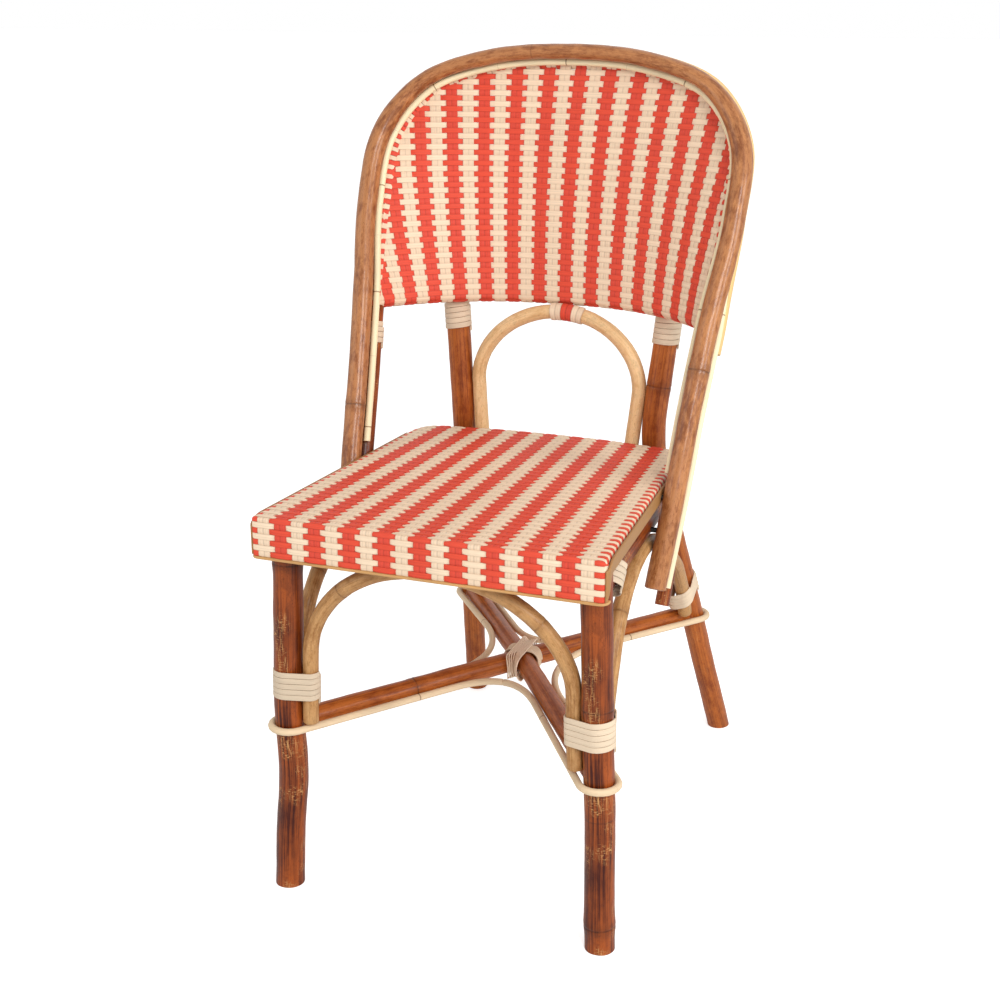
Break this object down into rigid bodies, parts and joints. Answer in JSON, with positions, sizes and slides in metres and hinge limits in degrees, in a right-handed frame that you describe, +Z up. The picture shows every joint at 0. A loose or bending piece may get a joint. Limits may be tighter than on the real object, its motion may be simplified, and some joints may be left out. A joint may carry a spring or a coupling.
{
  "type": "bistro chair",
  "caption": "Woven rattan bistro chair with pole legs, arched braces, a flat striped seat and a curved striped back panel inside a bent pole hoop.",
  "frame": {"origin": "on the floor, under the middle of the bounding box", "axes": "+Z up, +X towards the sitter's left, which is the right-hand side as seen from the front, and -Y towards the front of the seat"},
  "size_m": [0.4738, 0.6176, 0.9109],
  "materials": {
    "dark_pole": "satin",
    "brown_pole": "satin",
    "tan_pole": "satin",
    "pale_cane": "satin",
    "honey_cane": "satin",
    "cream_cane": "satin",
    "weave": "satin",
    "steel": "satin"
  },
  "bodies": {
    "root": {"arch_tab": "weave", "back_arch": "tan_pole", "back_bottom_rail": "brown_pole", "back_edge_band": "honey_cane", "back_frame": "brown_pole", "back_frame_binding_left": "cream_cane", "back_frame_binding_right": "cream_cane", "back_hoop": "brown_pole", "crossing_binding_inner": "cream_cane", "crossing_binding_outer": "cream_cane", "front_arch": "tan_pole", "front_binding_left": "cream_cane", "front_binding_right": "cream_cane", "front_leg_left": "dark_pole", "front_leg_right": "dark_pole", "front_rail": "brown_pole", "hoop_bolt_lower_left": "steel", "hoop_bolt_lower_right": "steel", "hoop_bolt_upper_left": "steel", "hoop_bolt_upper_right": "steel", "inner_bead": "pale_cane", "leg_cane_front_left": "pale_cane", "leg_cane_front_right": "pale_cane", "leg_cane_rear_left": "pale_cane", "leg_cane_rear_right": "pale_cane", "leg_top_binding_left": "cream_cane", "leg_top_binding_right": "cream_cane", "outer_bead": "pale_cane", "rail_binding_left": "cream_cane", "rail_binding_right": "cream_cane", "rear_binding_left": "cream_cane", "rear_binding_right": "cream_cane", "rear_leg_left": "brown_pole", "rear_leg_right": "brown_pole", "seat_frame": "brown_pole", "seat_front_cane": "honey_cane", "seat_side_band_left": "honey_cane", "seat_side_band_right": "honey_cane", "side_arch_left": "tan_pole", "side_arch_right": "tan_pole", "side_rail": "dark_pole", "stretcher_front_half": "brown_pole", "stretcher_rear_half": "brown_pole", "stretcher_through": "brown_pole", "woven_back": "weave", "woven_seat": "weave"}
  },
  "joints": []
}
